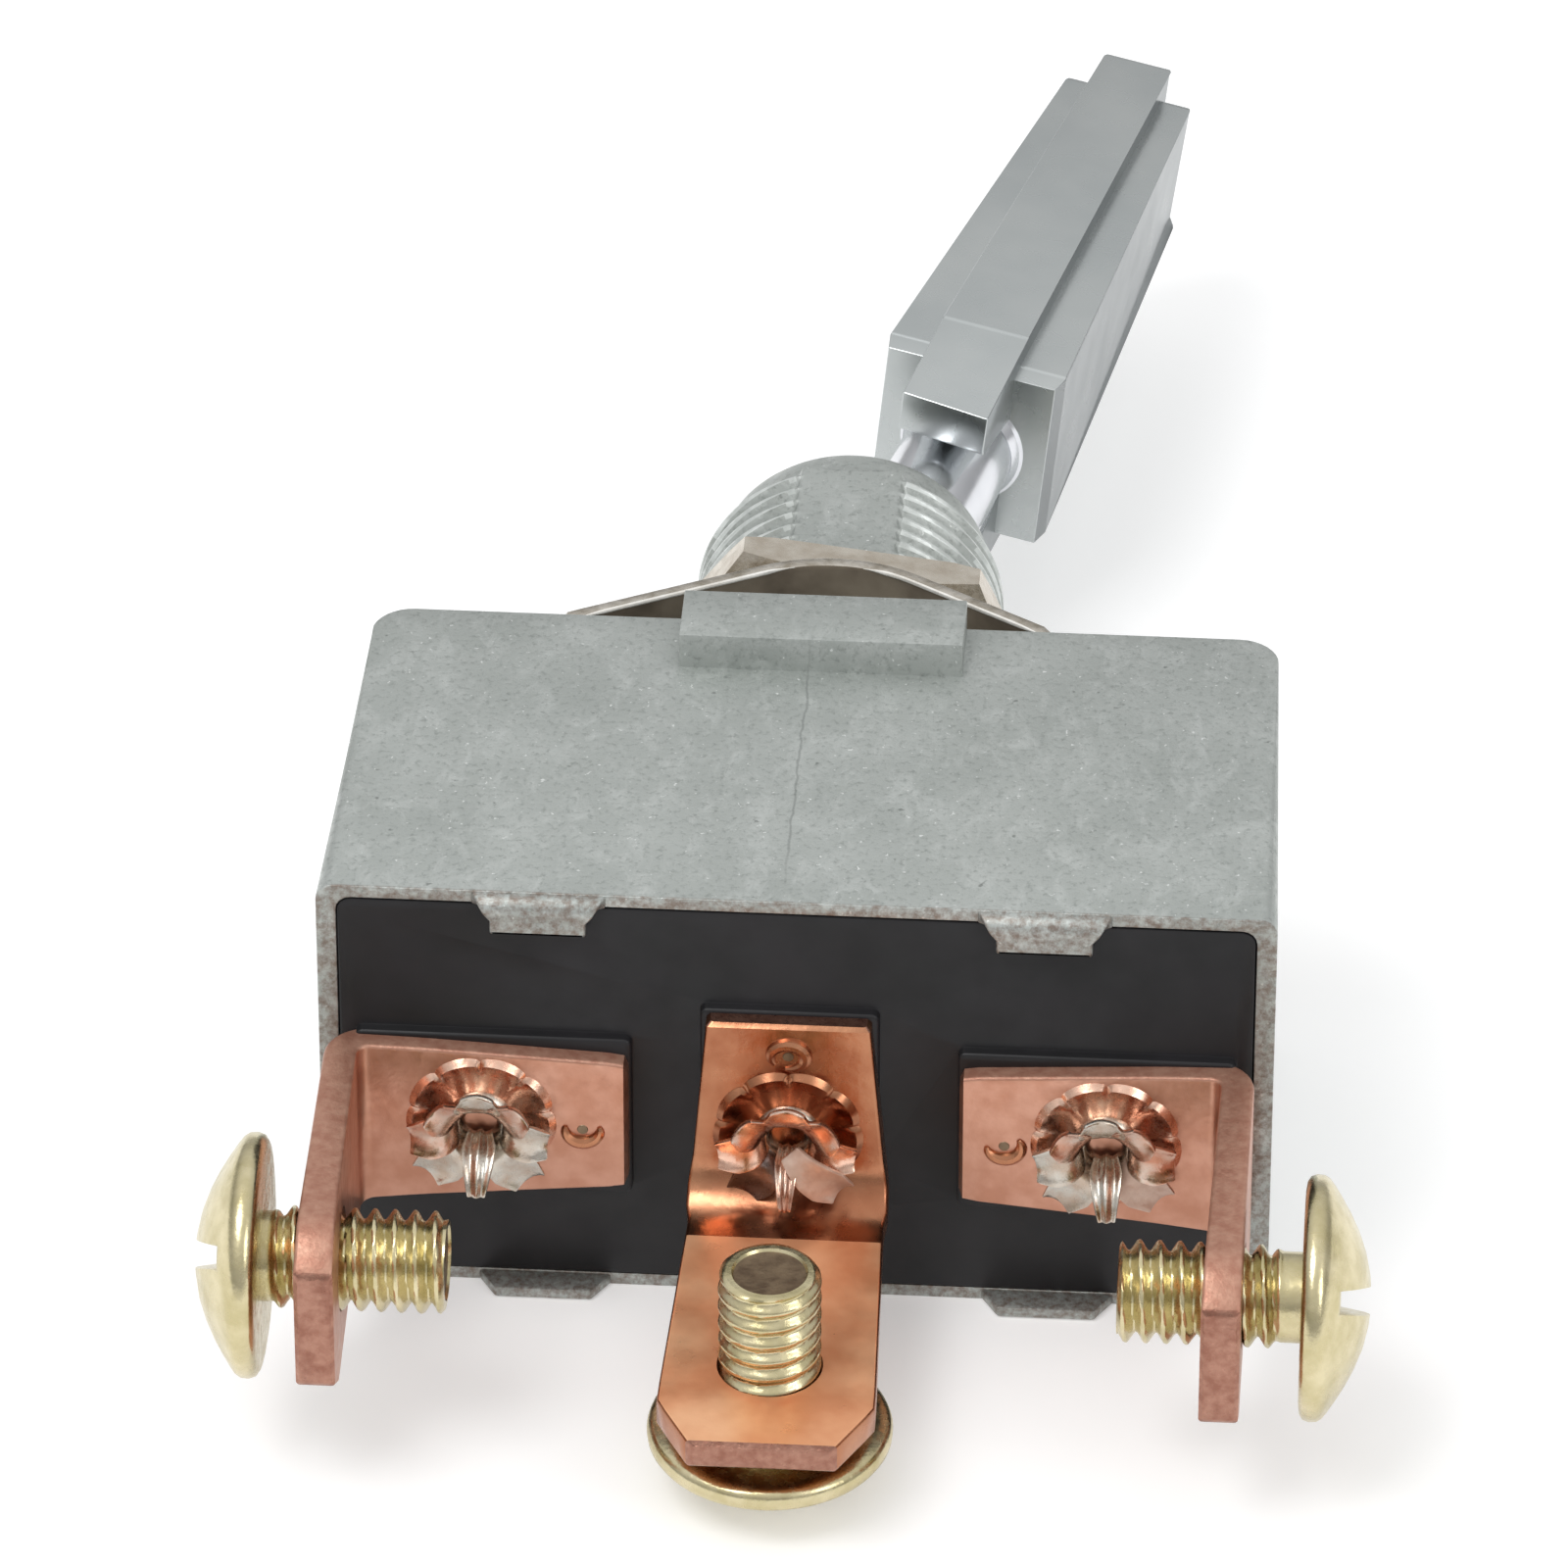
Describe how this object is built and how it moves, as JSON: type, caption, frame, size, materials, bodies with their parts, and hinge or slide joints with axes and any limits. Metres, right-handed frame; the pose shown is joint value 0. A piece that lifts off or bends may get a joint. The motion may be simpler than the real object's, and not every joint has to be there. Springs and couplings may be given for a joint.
{
  "type": "toggle switch",
  "caption": "Heavy-duty panel toggle switch: die-cast case, threaded bushing with nut and bowed washer, metal bat handle, black base and copper screw terminals.",
  "frame": {"origin": "on the bushing's axis, in the plane of the nut's free face, where a panel rests", "axes": "+Y along the bushing towards the handle, +Z out of the front face with the raised pad, +X along the case's long side; it lies on its back, handle leaning towards +X"},
  "size_m": [0.0461, 0.0913, 0.0206],
  "materials": {
    "cast_zinc": "die-cast zinc, dull grey, unpainted",
    "phenolic": "black moulded phenolic, slight sheen",
    "fibre": "tan vulcanised fibre sheet",
    "copper_matte": "copper strip, matte salmon pink",
    "copper_bright": "copper strip, bright rolled",
    "tinned": "tin-plated",
    "silver_alloy": "silver contact alloy, satin",
    "carrier_moulding": "brown moulded insulation",
    "lever_metal": "satin nickel plate, stem brighter",
    "steel": "plain bright steel",
    "nylon": "natural nylon",
    "nickel": "warm nickel plate",
    "washer_nickel": "warm nickel plate, worn edges",
    "screw_brass": "pale polished brass"
  },
  "bodies": {
    "case": {"housing": "cast_zinc", "terminal_base": "phenolic", "insulating_liner": "fibre", "terminal_left": "copper_matte", "terminal_right": "copper_matte", "terminal_center": "copper_bright", "rivet_left": "tinned", "rivet_right": "tinned", "rivet_center": "tinned", "fixed_contact_left": "silver_alloy", "fixed_contact_right": "silver_alloy", "fulcrum": "copper_bright", "blade_pin": "steel", "lock_washer": "washer_nickel"},
    "lever_body": {"lever": "lever_metal", "pivot_pin": "steel", "plunger_spring": "steel"},
    "plunger_body": {"plunger": "nylon"},
    "blade_body": {"contact_blade": "copper_bright", "blade_tip_left": "silver_alloy", "blade_tip_right": "silver_alloy", "blade_carrier": "carrier_moulding"},
    "nut_body": {"hex_nut": "nickel"},
    "screw_left_body": {"screw_left": "screw_brass"},
    "screw_right_body": {"screw_right": "screw_brass"},
    "screw_center_body": {"screw_center": "screw_brass"}
  },
  "joints": [
    {"name": "lever_swing", "type": "hinge", "parent": "case", "child": "lever_body", "pos_m": [0, 0.004, 0], "axis": [0, 0, 1], "range_deg": [0, 26.8]},
    {"name": "plunger_slide", "type": "slide", "parent": "lever_body", "child": "plunger_body", "axis": [0.2317, 0.9728, 0], "range_m": [0, 0.0008], "deforming": ["plunger_spring"]},
    {"name": "blade_rock", "type": "hinge", "parent": "case", "child": "blade_body", "pos_m": [0, -0.01667, 0], "axis": [0, 0, 1], "range_deg": [-16, 0]},
    {"name": "nut_travel", "type": "slide", "parent": "case", "child": "nut_body", "axis": [0, 1, 0], "range_m": [0, 0.009]},
    {"name": "screw_left_travel", "type": "slide", "parent": "case", "child": "screw_left_body", "axis": [-1, 0, 0], "range_m": [-0.0015, 0.004]},
    {"name": "screw_right_travel", "type": "slide", "parent": "case", "child": "screw_right_body", "axis": [1, 0, 0], "range_m": [-0.0022, 0.0035]},
    {"name": "screw_center_travel", "type": "slide", "parent": "case", "child": "screw_center_body", "axis": [0, 0, -1], "range_m": [-0.0013, 0.004]}
  ],
  "couplings": [
    {"joint": "blade_rock", "follows": "lever_swing", "ratio": -0.59701}
  ]
}
